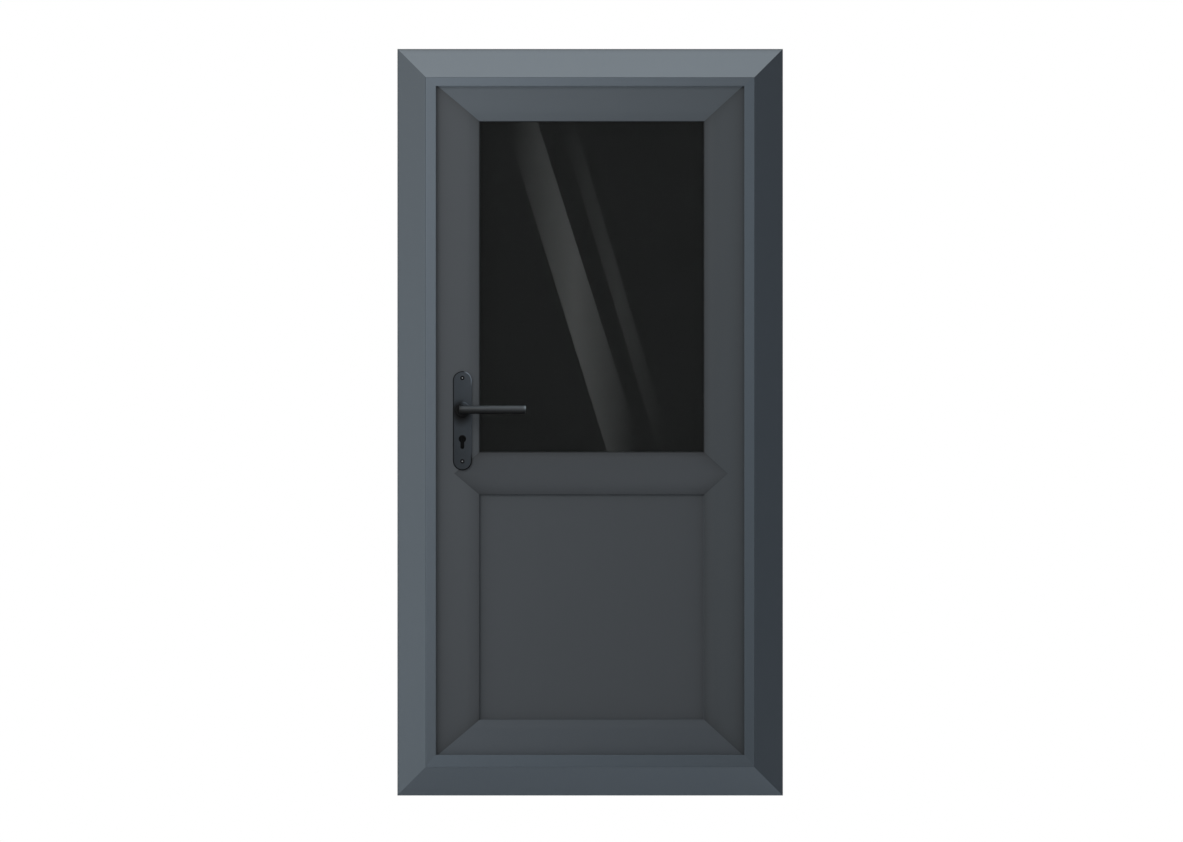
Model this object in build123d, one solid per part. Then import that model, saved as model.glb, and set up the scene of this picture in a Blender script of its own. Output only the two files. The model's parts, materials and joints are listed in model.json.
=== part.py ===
from build123d import *
from collections import namedtuple
import os

# Half glazed entrance door with its frame and cover trim, seen from outside.
# +X is right, +Y runs into the room and +Z is up. The wall's outer face is y = 0.
# The origin is the middle of the cover trim's bottom edge, on the wall face.

# Cover trim round the frame
OVERALL_WIDTH = 1110.0
OVERALL_HEIGHT = 2150.0
TRIM_WIDTH = 82.0
TRIM_EDGE = 4.0
TRIM_INNER = 30.0
TRIM_FLANGE = 42.0
TRIM_SHOULDER = 10.0
TRIM_ROUND = 1.5

# Fixed frame
STRIP_SIDE = 29.0
STRIP_HEAD = 25.0
STRIP_SILL = 35.0
STOP_THICKNESS = 12.0
STOP_DEPTH = 20.0
FRAME_BACK = 36.0
SHOULDER_STEP = 1.0
ARRIS = 1.5
FIXING_RADIUS = 4.0
FIXING_CORNER = 150.0
FIXING_SPACING = 600.0

# Door leaf, widths as they show between the stop and the daylight
STILE_LOCK = 125.0
STILE_HINGE = 115.0
RAIL = 101.0
RAIL_MIDDLE = 121.0
RAIL_BELOW_CYLINDER = 38.0
LAP_SIDE = 8.0
LAP_END = 11.0
SEAL_GAP = 5.0
LEAF_THICKNESS = 66.0
OVERLAP_WIDTH = 20.0
OVERLAP_THICKNESS = 12.0
BORDER_WIDTH = 26.0
BORDER_FALL = 3.0
BORDER_ROUND = 160.0
GLAZING_LIP = 5.0
REBATE_COVER = 20.0

# Infill: double glazed unit above, solid panel below
GASKET_THICKNESS = 3.0
GASKET_SHOW = 2.5
GASKET_COVER = 14.0
INFILL_COVER = 16.0
INFILL_THICKNESS = 28.0
PANE_THICKNESS = 4.0
SPACER_WIDTH = 10.0
SPACER_SET_IN = 1.0
BEAD_ROUND = 8.0

# Weather seals
SEAL_CLEARANCE = 0.3
SEAL_INSET = 1.5
SEAL_WIDTH = 4.5
SEAL_ROUND = 1.5

# Lever handles
SPINDLE_HEIGHT = 1111.0
BACKSET = 84.0
PLATE_WIDTH = 54.0
PLATE_LENGTH = 285.0
PLATE_THICKNESS = 8.0
PLATE_BEVEL = 2.5
PLATE_DROP = 31.5
PLATE_SCREW_RISE = 91.5
PLATE_SCREW_SPACING = 240.0
PLATE_SCREW_RADIUS = 5.2
PLATE_SCREW_DEPTH = 5.0
COLLAR_RADIUS = 22.0
COLLAR_HEIGHT = 6.0
COLLAR_BEVEL = 2.0
LEVER_RADIUS = 12.0
LEVER_PROJECTION = 52.0
LEVER_REACH = 183.0
LEVER_HEEL = 10.0
LEVER_BEVEL = 2.0
NECK_RADIUS = 10.0
NECK_CLEARANCE = 0.5
NECK_STAND_OFF = 1.0
SPINDLE_SIZE = 8.0
SPINDLE_CLEARANCE = 0.1
SPINDLE_GRIP = 22.0
SPINDLE_HOLE_RADIUS = 8.5

# Lock cylinder, faceplate, bolts and strike plate
CYLINDER_DROP = 85.0
CYLINDER_RADIUS = 8.5
CYLINDER_LEG = 10.0
CYLINDER_HEIGHT = 33.0
CYLINDER_CLEARANCE = 0.4
CYLINDER_RECESS = 1.5
KEYHOLE_RADIUS = 10.0
KEYHOLE_LEG = 11.0
KEYHOLE_HEIGHT = 38.0
FACEPLATE_WIDTH = 24.0
FACEPLATE_LENGTH = 260.0
FACEPLATE_THICKNESS = 3.0
STRIKE_THICKNESS = 2.5
BOLT_DEPTH = 20.0
BOLT_PROUD = 1.0
BOLT_CLEARANCE = 0.5
BOLT_THROW = 16.0
LATCH_SIZE = (12.0, 22.0)
DEADBOLT_SIZE = (14.0, 34.0)
PLATE_CORNER = 4.0

# Hinges on the room side
HINGE_FROM_END = 164.0
HINGE_LENGTH = 100.0
HINGE_AXIS_OFFSET = 14.0
BARREL_RADIUS = 8.5
PIN_RADIUS = 4.0
PIN_CLEARANCE = 0.3
HINGE_CORNER = 3.0
KNUCKLE_LENGTH = 34.0
KNUCKLE_GAP = 1.0
HINGE_LEAF_WIDTH = 40.0
HINGE_LEAF_EDGE = 2.0
HINGE_LEAF_THICKNESS = 4.0
HINGE_FRAME_WIDTH = 32.0
HINGE_FRAME_EDGE = 2.0
HINGE_FRAME_THICKNESS = 3.5
HINGE_WEB = 12.0

# Longer than any piece, for cutters
REACH = OVERALL_HEIGHT + OVERALL_WIDTH

# The rectangle that one edge of a four-sided frame follows, in X and Z
Outline = namedtuple("Outline", "left bottom right top")


def grow(outline, sides, ends=None):
    ends = sides if ends is None else ends
    return Outline(outline.left - sides, outline.bottom - ends, outline.right + sides, outline.top + ends)


# Nested outlines, from the wall inwards
TRIM_OUTER = Outline(-OVERALL_WIDTH / 2, 0.0, OVERALL_WIDTH / 2, OVERALL_HEIGHT)
TRIM_DAYLIGHT = grow(TRIM_OUTER, -TRIM_WIDTH)
FRAME_OUTER = grow(TRIM_OUTER, -TRIM_FLANGE)
FRAME_SHOULDER = grow(FRAME_OUTER, -SHOULDER_STEP)
STOP = Outline(
    TRIM_DAYLIGHT.left + STRIP_SIDE,
    TRIM_DAYLIGHT.bottom + STRIP_SILL,
    TRIM_DAYLIGHT.right - STRIP_SIDE,
    TRIM_DAYLIGHT.top - STRIP_HEAD,
)
FRAME_REBATE = grow(STOP, STOP_DEPTH)
LEAF_EDGE = grow(STOP, LAP_SIDE, LAP_END)
LEAF_OVERLAP = grow(LEAF_EDGE, OVERLAP_WIDTH)
DAYLIGHT = Outline(
    STOP.left + STILE_LOCK, STOP.bottom + RAIL, STOP.right - STILE_HINGE, STOP.top - RAIL
)

# The middle rail lies just below the lock cylinder, between the glass and the panel
CYLINDER_Z = SPINDLE_HEIGHT - CYLINDER_DROP
GLASS_OPENING = DAYLIGHT._replace(bottom=CYLINDER_Z - RAIL_BELOW_CYLINDER)
PANEL_OPENING = DAYLIGHT._replace(top=GLASS_OPENING.bottom - RAIL_MIDDLE)

# The leaf's mitres run from its outer corners to the corners of the daylight,
# so their slope follows the widths of the rails and stiles that meet.
SLOPE_LOCK = (RAIL + LAP_END) / (STILE_LOCK + LAP_SIDE)
SLOPE_HINGE = (RAIL + LAP_END) / (STILE_HINGE + LAP_SIDE)

# Depths, from outside to the room
STOP_FRONT = -TRIM_INNER
STOP_BACK = STOP_FRONT + STOP_THICKNESS
LEAF_FRONT = STOP_BACK + SEAL_GAP
LEAF_BACK = LEAF_FRONT + LEAF_THICKNESS
LEAF_MIDDLE = (LEAF_FRONT + LEAF_BACK) / 2
OVERLAP_FRONT = LEAF_BACK - OVERLAP_THICKNESS
GLAZING_FRONT = LEAF_FRONT + BORDER_FALL + GLAZING_LIP
INFILL_FRONT = GLAZING_FRONT + GASKET_THICKNESS
INFILL_BACK = INFILL_FRONT + INFILL_THICKNESS

# Lock and hinge positions
SPINDLE_X = LEAF_EDGE.left + BACKSET
LOCK_Z = (SPINDLE_HEIGHT + CYLINDER_Z) / 2
LOCK_Y = (LEAF_FRONT + OVERLAP_FRONT) / 2
HINGE_X = LEAF_OVERLAP.right + HINGE_AXIS_OFFSET
HINGE_Y = LEAF_BACK
HINGE_HEIGHTS = {
    "bottom": LEAF_EDGE.bottom + HINGE_FROM_END,
    "middle": (LEAF_EDGE.bottom + LEAF_EDGE.top) / 2,
    "top": LEAF_EDGE.top - HINGE_FROM_END,
}


def leaf_outline(opening, cover):
    """The outline that lies cover behind the rails' daylight edge, with its corners on the mitres."""
    return Outline(
        opening.left - cover / SLOPE_LOCK,
        opening.bottom - cover,
        opening.right + cover / SLOPE_HINGE,
        opening.top + cover,
    )


def prism(plane, points, radii=0.0):
    """A long prism through a closed outline, to be cut to length by another."""
    outline = FilletPolyline(*points, radius=radii, close=True)
    return extrude(make_face(plane * outline), amount=REACH, both=True)


def front_plane(x, y, z):
    """A plane seen from outside, whose extrusions come out towards the viewer."""
    return Plane(origin=(x, y, z), x_dir=(1, 0, 0), z_dir=(0, -1, 0))


def block(x_span, y_span, z_span):
    size = [high - low for low, high in (x_span, y_span, z_span)]
    middle = [(high + low) / 2 for low, high in (x_span, y_span, z_span)]
    return Pos(*middle) * Box(*size)


def corner(outline, side, end):
    """The corner of an outline where one side meets the side at its given end."""
    if side in ("left", "right"):
        return getattr(outline, side), getattr(outline, "bottom" if end == 0 else "top")
    return getattr(outline, "left" if end == 0 else "right"), getattr(outline, side)


def mitred_side(side, section):
    """One side of a four-sided frame.

    A section point is an outline, a depth and a corner radius. The ends are cut through
    the corners of those outlines, so the same section meets itself on every mitre.
    """
    nested = sorted({point[0] for point in section}, key=lambda outline: outline.left)
    plan = [corner(outline, side, 0) for outline in nested]
    plan += [corner(outline, side, 1) for outline in reversed(nested)]
    radii = [point[2] for point in section]
    if side in ("left", "right"):
        profile = prism(Plane.XY, [(getattr(point[0], side), point[1]) for point in section], radii)
    else:
        profile = prism(Plane.YZ, [(point[1], getattr(point[0], side)) for point in section], radii)
    return profile & prism(Plane.XZ, plan)


def ring(section):
    """A closed four-sided ring, such as a gasket, in one piece."""
    sides = [mitred_side(side, section) for side in Outline._fields]
    return sides[0] + sides[1:]


def trim_section():
    return [
        (TRIM_OUTER, 0.0, 0.0),
        (TRIM_OUTER, -TRIM_EDGE, TRIM_ROUND),
        (TRIM_DAYLIGHT, STOP_FRONT, TRIM_ROUND),
        (TRIM_DAYLIGHT, -TRIM_SHOULDER, 0.0),
        (FRAME_OUTER, -TRIM_SHOULDER, 0.0),
        (FRAME_OUTER, 0.0, 0.0),
    ]


def frame_section():
    return [
        (FRAME_OUTER, 0.0, 0.0),
        (FRAME_SHOULDER, 0.0, 0.0),
        (FRAME_SHOULDER, -TRIM_SHOULDER, 0.0),
        (TRIM_DAYLIGHT, -TRIM_SHOULDER, 0.0),
        (TRIM_DAYLIGHT, STOP_FRONT, 0.0),
        (STOP, STOP_FRONT, ARRIS),
        (STOP, STOP_BACK, 0.0),
        (FRAME_REBATE, STOP_BACK, 0.0),
        (FRAME_REBATE, FRAME_BACK, ARRIS),
        (FRAME_OUTER, FRAME_BACK, 0.0),
    ]


def leaf_section():
    border = leaf_outline(DAYLIGHT, BORDER_WIDTH)
    rebate = leaf_outline(DAYLIGHT, REBATE_COVER)
    return [
        (LEAF_EDGE, LEAF_FRONT, ARRIS),
        (border, LEAF_FRONT, BORDER_ROUND),
        (DAYLIGHT, LEAF_FRONT + BORDER_FALL, ARRIS),
        (DAYLIGHT, GLAZING_FRONT, 0.0),
        (rebate, GLAZING_FRONT, 0.0),
        (rebate, LEAF_BACK, 0.0),
        (LEAF_OVERLAP, LEAF_BACK, ARRIS),
        (LEAF_OVERLAP, OVERLAP_FRONT, ARRIS),
        (LEAF_EDGE, OVERLAP_FRONT, 0.0),
    ]


def middle_rail_plan():
    """The middle rail's plan, with arrowhead ends let into both stiles."""
    middle = (PANEL_OPENING.top + GLASS_OPENING.bottom) / 2
    half = RAIL_MIDDLE / 2
    points = [
        (DAYLIGHT.left, PANEL_OPENING.top),
        (DAYLIGHT.left - half / SLOPE_LOCK, middle),
        (DAYLIGHT.left, GLASS_OPENING.bottom),
        (DAYLIGHT.right, GLASS_OPENING.bottom),
        (DAYLIGHT.right + half / SLOPE_HINGE, middle),
        (DAYLIGHT.right, PANEL_OPENING.top),
    ]
    return prism(Plane.XZ, points)


def middle_rail():
    """The same moulding on both edges, with a rebate for the infill above and below."""
    low = PANEL_OPENING.top
    high = GLASS_OPENING.bottom
    border_front = LEAF_FRONT + BORDER_FALL
    section = [
        (border_front, low, ARRIS),
        (LEAF_FRONT, low + BORDER_WIDTH, BORDER_ROUND),
        (LEAF_FRONT, high - BORDER_WIDTH, BORDER_ROUND),
        (border_front, high, ARRIS),
        (GLAZING_FRONT, high, 0.0),
        (GLAZING_FRONT, high - REBATE_COVER, 0.0),
        (LEAF_BACK, high - REBATE_COVER, 0.0),
        (LEAF_BACK, low + REBATE_COVER, 0.0),
        (GLAZING_FRONT, low + REBATE_COVER, 0.0),
        (GLAZING_FRONT, low, 0.0),
    ]
    points = [(point[0], point[1]) for point in section]
    return prism(Plane.YZ, points, [point[2] for point in section]) & middle_rail_plan()


def sheet(outline, front, thickness):
    return block((outline.left, outline.right), (front, front + thickness), (outline.bottom, outline.top))


def spacer(opening):
    """The bar between the two panes, set in from the edge of the unit."""
    outer = leaf_outline(opening, INFILL_COVER - SPACER_SET_IN)
    inner = leaf_outline(opening, INFILL_COVER - SPACER_SET_IN - SPACER_WIDTH)
    front = INFILL_FRONT + PANE_THICKNESS
    back = INFILL_BACK - PANE_THICKNESS
    return ring([(outer, front, 0.0), (inner, front, 0.0), (inner, back, 0.0), (outer, back, 0.0)])


def gasket(opening):
    """The rubber between the glazing lip and the infill, with a sloped edge that shows."""
    outer = leaf_outline(opening, GASKET_COVER)
    shown = leaf_outline(opening, -GASKET_SHOW)
    edge = GLAZING_FRONT + GASKET_THICKNESS / 2
    return ring([
        (outer, GLAZING_FRONT, 0.0),
        (opening, GLAZING_FRONT, 0.0),
        (shown, edge, 0.0),
        (shown, INFILL_FRONT, 0.0),
        (outer, INFILL_FRONT, 0.0),
    ])


def bead_section(opening):
    outer = leaf_outline(opening, REBATE_COVER)
    return [
        (outer, INFILL_BACK, 0.0),
        (opening, INFILL_BACK, 0.0),
        (opening, LEAF_BACK, BEAD_ROUND),
        (outer, LEAF_BACK, 0.0),
    ]


def seal(inner, front, back, tip_is_back):
    """A weather seal whose rounded tip stops just short of the face that closes on it."""
    outer = grow(inner, SEAL_WIDTH)
    round_back = SEAL_ROUND if tip_is_back else 0.0
    round_front = 0.0 if tip_is_back else SEAL_ROUND
    return ring([
        (outer, front, round_front),
        (inner, front, round_front),
        (inner, back, round_back),
        (outer, back, round_back),
    ])


def euro_profile(radius, leg, height):
    """A lock cylinder's outline: a circle with a round-ended leg below it."""
    drop = height - radius - leg / 2
    return Circle(radius) + Pos(0, -drop / 2) * Rectangle(leg, drop) + Pos(0, -drop) * Circle(leg / 2)


def cylinder_solid(clearance, front, back):
    outline = euro_profile(
        CYLINDER_RADIUS + clearance, CYLINDER_LEG + 2 * clearance, CYLINDER_HEIGHT + 2 * clearance
    )
    return extrude(front_plane(SPINDLE_X, back, CYLINDER_Z) * outline, amount=back - front)


def backplate_outside():
    """A long round-ended plate with a collar, a keyhole and two sunk seats for its screws."""
    middle = SPINDLE_HEIGHT - PLATE_DROP
    face = front_plane(SPINDLE_X, LEAF_FRONT, middle)
    plate = extrude(face * SlotOverall(PLATE_LENGTH, PLATE_WIDTH, rotation=90), amount=PLATE_THICKNESS)
    plate_front = plate.faces().sort_by(Axis.Y)[0]
    plate = chamfer(plate_front.edges(), PLATE_BEVEL)
    collar_base = front_plane(SPINDLE_X, LEAF_FRONT, SPINDLE_HEIGHT)
    collar = extrude(collar_base * Circle(COLLAR_RADIUS), amount=PLATE_THICKNESS + COLLAR_HEIGHT)
    collar_front = collar.faces().sort_by(Axis.Y)[0]
    collar = chamfer(collar_front.edges(), COLLAR_BEVEL)
    bore = Circle(NECK_RADIUS + NECK_CLEARANCE)
    plate = plate + collar - extrude(collar_base * bore, amount=PLATE_THICKNESS + COLLAR_HEIGHT)
    keyhole = euro_profile(KEYHOLE_RADIUS, KEYHOLE_LEG, KEYHOLE_HEIGHT)
    plate -= extrude(front_plane(SPINDLE_X, LEAF_FRONT, CYLINDER_Z) * keyhole, amount=PLATE_THICKNESS)
    upper_screw = SPINDLE_HEIGHT + PLATE_SCREW_RISE
    for height in (upper_screw - PLATE_SCREW_SPACING, upper_screw):
        seat = front_plane(SPINDLE_X, LEAF_FRONT - PLATE_THICKNESS + PLATE_SCREW_DEPTH, height)
        plate -= extrude(seat * Circle(PLATE_SCREW_RADIUS), amount=PLATE_SCREW_DEPTH)
    return plate


def lever_outside():
    """A round grip along the door with bevelled ends, on a neck that turns in the collar."""
    start = LEAF_FRONT - NECK_STAND_OFF
    grip = LEAF_FRONT - LEVER_PROJECTION
    grip_base = Plane(origin=(SPINDLE_X - LEVER_HEEL, grip, SPINDLE_HEIGHT), z_dir=(1, 0, 0))
    bar = extrude(grip_base * Circle(LEVER_RADIUS), amount=LEVER_HEEL + LEVER_REACH)
    ends = bar.faces().filter_by(GeomType.PLANE)
    bar = chamfer(ends.edges(), LEVER_BEVEL)
    neck_base = front_plane(SPINDLE_X, start, SPINDLE_HEIGHT)
    bar += extrude(neck_base * Circle(NECK_RADIUS), amount=start - grip)
    half = SPINDLE_SIZE / 2 + SPINDLE_CLEARANCE
    depth = SPINDLE_GRIP + NECK_STAND_OFF
    return bar - block(
        (SPINDLE_X - half, SPINDLE_X + half),
        (start - depth, start),
        (SPINDLE_HEIGHT - half, SPINDLE_HEIGHT + half),
    )


def spindle():
    """The square bar that joins both levers through the lock stile."""
    half = SPINDLE_SIZE / 2
    reach = SPINDLE_GRIP + NECK_STAND_OFF
    return block(
        (SPINDLE_X - half, SPINDLE_X + half),
        (LEAF_FRONT - reach, LEAF_BACK + reach),
        (SPINDLE_HEIGHT - half, SPINDLE_HEIGHT + half),
    )


def inside_copy(shape):
    """The same piece on the room side of the leaf."""
    return mirror(shape, about=Plane(origin=(0, LEAF_MIDDLE, 0), z_dir=(0, 1, 0)))


def bolt(size, height, clearance, x_span):
    half_y = size[0] / 2 + clearance
    half_z = size[1] / 2 + clearance
    return block(x_span, (LOCK_Y - half_y, LOCK_Y + half_y), (height - half_z, height + half_z))


def bolts(clearance, x_span):
    """The latch at the lever's height and the dead bolt at the cylinder's."""
    latch = bolt(LATCH_SIZE, SPINDLE_HEIGHT, clearance, x_span)
    deadbolt = bolt(DEADBOLT_SIZE, CYLINDER_Z, clearance, x_span)
    return latch + deadbolt


def edge_plate(x_low, thickness):
    """A long plate with rounded corners that stands on edge, for the lock or the strike."""
    face = Plane(origin=(x_low, LOCK_Y, LOCK_Z), x_dir=(0, 1, 0), z_dir=(1, 0, 0))
    return extrude(face * RectangleRounded(FACEPLATE_WIDTH, FACEPLATE_LENGTH, PLATE_CORNER), amount=thickness)


def lock_stile():
    """The stile at the handle, drilled for the spindle and cylinder and let in for the lock."""
    stile = mitred_side("left", leaf_section()) - middle_rail_plan()
    spindle_base = front_plane(SPINDLE_X, LEAF_BACK, SPINDLE_HEIGHT)
    stile -= extrude(spindle_base * Circle(SPINDLE_HOLE_RADIUS), amount=LEAF_THICKNESS)
    stile -= cylinder_solid(CYLINDER_CLEARANCE, LEAF_FRONT, LEAF_BACK)
    stile -= edge_plate(LEAF_EDGE.left, FACEPLATE_THICKNESS)
    return stile - bolts(BOLT_CLEARANCE, (LEAF_EDGE.left, LEAF_EDGE.left + BOLT_DEPTH))


def jamb(side):
    """A jamb with four holes for the screws that fix it to the wall."""
    wall = getattr(FRAME_OUTER, side)
    inwards = 1 if side == "left" else -1
    middle = (FRAME_OUTER.bottom + FRAME_OUTER.top) / 2
    corner_hole = (FRAME_OUTER.top - FRAME_OUTER.bottom) / 2 - FIXING_CORNER
    member = mitred_side(side, frame_section())
    for offset in (-corner_hole, -FIXING_SPACING / 2, FIXING_SPACING / 2, corner_hole):
        face = Plane(origin=(wall, FRAME_BACK / 2, middle + offset), z_dir=(inwards, 0, 0))
        member -= extrude(face * Circle(FIXING_RADIUS), amount=FRAME_REBATE.left - FRAME_OUTER.left)
    return member


def lock_jamb():
    """The jamb at the handle, with pockets behind the strike plate for both bolts."""
    wall = FRAME_REBATE.left
    return jamb("left") - bolts(BOLT_CLEARANCE, (wall - BOLT_THROW, wall))


def hinge_frame_part(height):
    """A plate on the jamb with two knuckles and the pin between them."""
    plate_right = FRAME_OUTER.right - HINGE_FRAME_EDGE
    face = front_plane(plate_right - HINGE_FRAME_WIDTH / 2, FRAME_BACK + HINGE_FRAME_THICKNESS, height)
    outline = Rectangle(HINGE_FRAME_WIDTH, HINGE_LENGTH)
    outline = chamfer(outline.vertices(), HINGE_CORNER)
    part = extrude(face * outline, amount=HINGE_FRAME_THICKNESS)
    knuckle = (HINGE_LENGTH - KNUCKLE_LENGTH) / 2 - KNUCKLE_GAP
    for direction in (-1, 1):
        middle = height + direction * (HINGE_LENGTH - knuckle) / 2
        part += Pos(HINGE_X, HINGE_Y, middle) * Cylinder(BARREL_RADIUS, knuckle)
        part += block(
            (HINGE_X - HINGE_WEB / 2, HINGE_X + HINGE_WEB / 2),
            (FRAME_BACK, HINGE_Y),
            (middle - knuckle / 2, middle + knuckle / 2),
        )
    return part + Pos(HINGE_X, HINGE_Y, height) * Cylinder(PIN_RADIUS, HINGE_LENGTH)


def hinge_leaf_part(height):
    """A plate on the leaf with the middle knuckle, which turns on the pin."""
    right = LEAF_OVERLAP.right - HINGE_LEAF_EDGE
    back = LEAF_BACK + HINGE_LEAF_THICKNESS
    face = front_plane(right - HINGE_LEAF_WIDTH / 2, back, height)
    outline = Rectangle(HINGE_LEAF_WIDTH, HINGE_LENGTH)
    outline = chamfer(outline.vertices(), HINGE_CORNER)
    part = extrude(face * outline, amount=HINGE_LEAF_THICKNESS)
    half = KNUCKLE_LENGTH / 2
    part += block((right - HINGE_CORNER, HINGE_X), (LEAF_BACK, back), (height - half, height + half))
    part += Pos(HINGE_X, HINGE_Y, height) * Cylinder(BARREL_RADIUS, KNUCKLE_LENGTH)
    return part - Pos(HINGE_X, HINGE_Y, height) * Cylinder(PIN_RADIUS + PIN_CLEARANCE, KNUCKLE_LENGTH)


def frame_pieces():
    names = {"left": "jamb_lock", "right": "jamb_hinge", "bottom": "sill", "top": "head"}
    pieces = {}
    for side, name in names.items():
        pieces["trim_" + name] = mitred_side(side, trim_section())
        pieces["frame_" + name] = mitred_side(side, frame_section())
    pieces["frame_jamb_lock"] = lock_jamb()
    pieces["frame_jamb_hinge"] = jamb("right")
    seal_front = STOP_BACK
    seal_back = LEAF_FRONT - SEAL_CLEARANCE
    pieces["frame_seal"] = seal(grow(STOP, SEAL_INSET), seal_front, seal_back, True)
    strike = edge_plate(FRAME_REBATE.left, STRIKE_THICKNESS)
    span = (FRAME_REBATE.left, FRAME_REBATE.left + STRIKE_THICKNESS)
    pieces["strike_plate"] = strike - bolts(BOLT_CLEARANCE, span)
    for place, height in HINGE_HEIGHTS.items():
        pieces["hinge_" + place + "_frame"] = hinge_frame_part(height)
    return pieces


def leaf_pieces():
    pieces = {
        "leaf_stile_lock": lock_stile(),
        "leaf_stile_hinge": mitred_side("right", leaf_section()) - middle_rail_plan(),
        "leaf_rail_top": mitred_side("top", leaf_section()),
        "leaf_rail_bottom": mitred_side("bottom", leaf_section()),
        "leaf_rail_middle": middle_rail(),
        "glass_spacer": spacer(GLASS_OPENING),
        "glass_gasket": gasket(GLASS_OPENING),
        "panel_gasket": gasket(PANEL_OPENING),
    }
    unit = leaf_outline(GLASS_OPENING, INFILL_COVER)
    pieces["glass_pane_outside"] = sheet(unit, INFILL_FRONT, PANE_THICKNESS)
    pieces["glass_pane_inside"] = sheet(unit, INFILL_BACK - PANE_THICKNESS, PANE_THICKNESS)
    pieces["lower_panel"] = sheet(leaf_outline(PANEL_OPENING, INFILL_COVER), INFILL_FRONT, INFILL_THICKNESS)
    for infill, opening in (("glass", GLASS_OPENING), ("panel", PANEL_OPENING)):
        for side in Outline._fields:
            pieces[infill + "_bead_" + side] = mitred_side(side, bead_section(opening))
    seal_front = FRAME_BACK + SEAL_CLEARANCE
    pieces["leaf_seal"] = seal(grow(FRAME_REBATE, SEAL_INSET), seal_front, OVERLAP_FRONT, False)
    span = (LEAF_EDGE.left, LEAF_EDGE.left + FACEPLATE_THICKNESS)
    pieces["lock_faceplate"] = edge_plate(LEAF_EDGE.left, FACEPLATE_THICKNESS) - bolts(BOLT_CLEARANCE, span)
    pieces["lock_bolts"] = bolts(0.0, (LEAF_EDGE.left - BOLT_PROUD, LEAF_EDGE.left + BOLT_DEPTH))
    pieces["backplate_outside"] = backplate_outside()
    pieces["backplate_inside"] = inside_copy(backplate_outside())
    recess = PLATE_THICKNESS - CYLINDER_RECESS
    pieces["lock_cylinder"] = cylinder_solid(0.0, LEAF_FRONT - recess, LEAF_BACK + recess)
    for place, height in HINGE_HEIGHTS.items():
        pieces["hinge_" + place + "_leaf"] = hinge_leaf_part(height)
    return pieces


def lever_pieces():
    return {
        "lever_outside": lever_outside(),
        "lever_inside": inside_copy(lever_outside()),
        "spindle": spindle(),
    }


os.makedirs("parts", exist_ok=True)
for pieces in (frame_pieces(), leaf_pieces(), lever_pieces()):
    for node, shape in pieces.items():
        export_step(shape, "parts/" + node + ".step")
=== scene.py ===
from collections import namedtuple
import json
import math

import bmesh
import bpy
from mathutils import Matrix, Vector


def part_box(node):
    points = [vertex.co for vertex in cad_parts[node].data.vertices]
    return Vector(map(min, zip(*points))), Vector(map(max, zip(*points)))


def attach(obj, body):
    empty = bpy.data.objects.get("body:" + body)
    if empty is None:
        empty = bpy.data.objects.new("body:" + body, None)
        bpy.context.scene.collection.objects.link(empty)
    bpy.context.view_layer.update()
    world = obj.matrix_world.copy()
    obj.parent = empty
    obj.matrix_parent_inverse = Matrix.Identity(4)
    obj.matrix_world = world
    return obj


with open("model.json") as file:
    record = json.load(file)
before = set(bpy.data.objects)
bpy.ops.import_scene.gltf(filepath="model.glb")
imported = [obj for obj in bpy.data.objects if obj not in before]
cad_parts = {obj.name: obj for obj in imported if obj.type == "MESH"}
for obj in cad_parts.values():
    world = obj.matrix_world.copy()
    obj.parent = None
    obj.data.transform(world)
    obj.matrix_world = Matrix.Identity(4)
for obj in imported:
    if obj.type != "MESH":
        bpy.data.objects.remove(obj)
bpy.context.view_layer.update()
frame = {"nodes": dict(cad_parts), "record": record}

# Sizes in metres: +X right, +Y into the room, +Z up, seen from outside
Outline = namedtuple("Outline", "left bottom right top")


def inside(lock, sill, hinge, head):
    """The opening between the four members of a surround."""
    return Outline(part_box(lock)[1].x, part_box(sill)[1].z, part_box(hinge)[0].x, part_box(head)[0].z)


TRIM_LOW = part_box("trim_sill")[0]
TRIM_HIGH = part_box("trim_head")[1]
TRIM_OUTER = Outline(TRIM_LOW.x, TRIM_LOW.z, TRIM_HIGH.x, TRIM_HIGH.z)
TRIM_INNER = inside("trim_jamb_lock", "trim_sill", "trim_jamb_hinge", "trim_head")
STOP = inside("frame_jamb_lock", "frame_sill", "frame_jamb_hinge", "frame_head")
DAYLIGHT = inside("leaf_stile_lock", "leaf_rail_bottom", "leaf_stile_hinge", "leaf_rail_top")
RAIL_LOW, RAIL_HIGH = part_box("leaf_rail_middle")
GLASS = DAYLIGHT._replace(bottom=RAIL_HIGH.z)
PANEL = DAYLIGHT._replace(top=RAIL_LOW.z)

# Rise over run of the leaf's mitres at either side, up to the overlap that only the room side has
LEAF_OVERLAP = 0.020
LEAF_LOW, LEAF_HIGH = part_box("leaf_rail_top")
MITRE_RISE = LEAF_HIGH.z - LEAF_OVERLAP - DAYLIGHT.top
SLOPE_LOCK = MITRE_RISE / (DAYLIGHT.left - LEAF_LOW.x - LEAF_OVERLAP)
SLOPE_HINGE = MITRE_RISE / (LEAF_HIGH.x - LEAF_OVERLAP - DAYLIGHT.right)

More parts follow.
